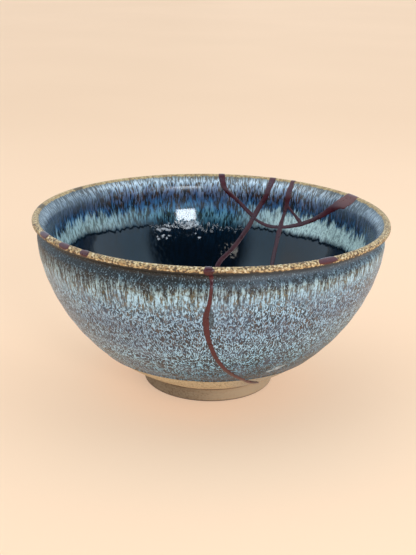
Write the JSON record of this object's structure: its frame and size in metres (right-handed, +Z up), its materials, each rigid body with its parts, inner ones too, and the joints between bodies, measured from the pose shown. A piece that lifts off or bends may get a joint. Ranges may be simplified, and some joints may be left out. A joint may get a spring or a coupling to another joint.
{
  "type": "tea bowl",
  "caption": "Round ceramic tea bowl on a small turned foot, with a rolled lip, a dark streaked glaze and cracks mended with red-brown lacquer",
  "frame": {"origin": "centre of the foot's flat underside, on the surface that the bowl stands on", "axes": "+Z up along the bowl's turning axis, and -Y towards the side that the picture shows, so +X is to the right in it"},
  "size_m": [0.1248, 0.1253, 0.0627],
  "materials": {
    "glaze": "glossy, dark blue streaked with pale blue and rust",
    "lacquer": "glossy red-brown lacquer"
  },
  "bodies": {
    "root": {"bowl": "glaze", "lacquer_seams": "lacquer", "rim_fill_right": "lacquer", "rim_fill_left_1": "lacquer", "rim_fill_left_2": "lacquer", "rim_fill_left_3": "lacquer"}
  },
  "joints": []
}
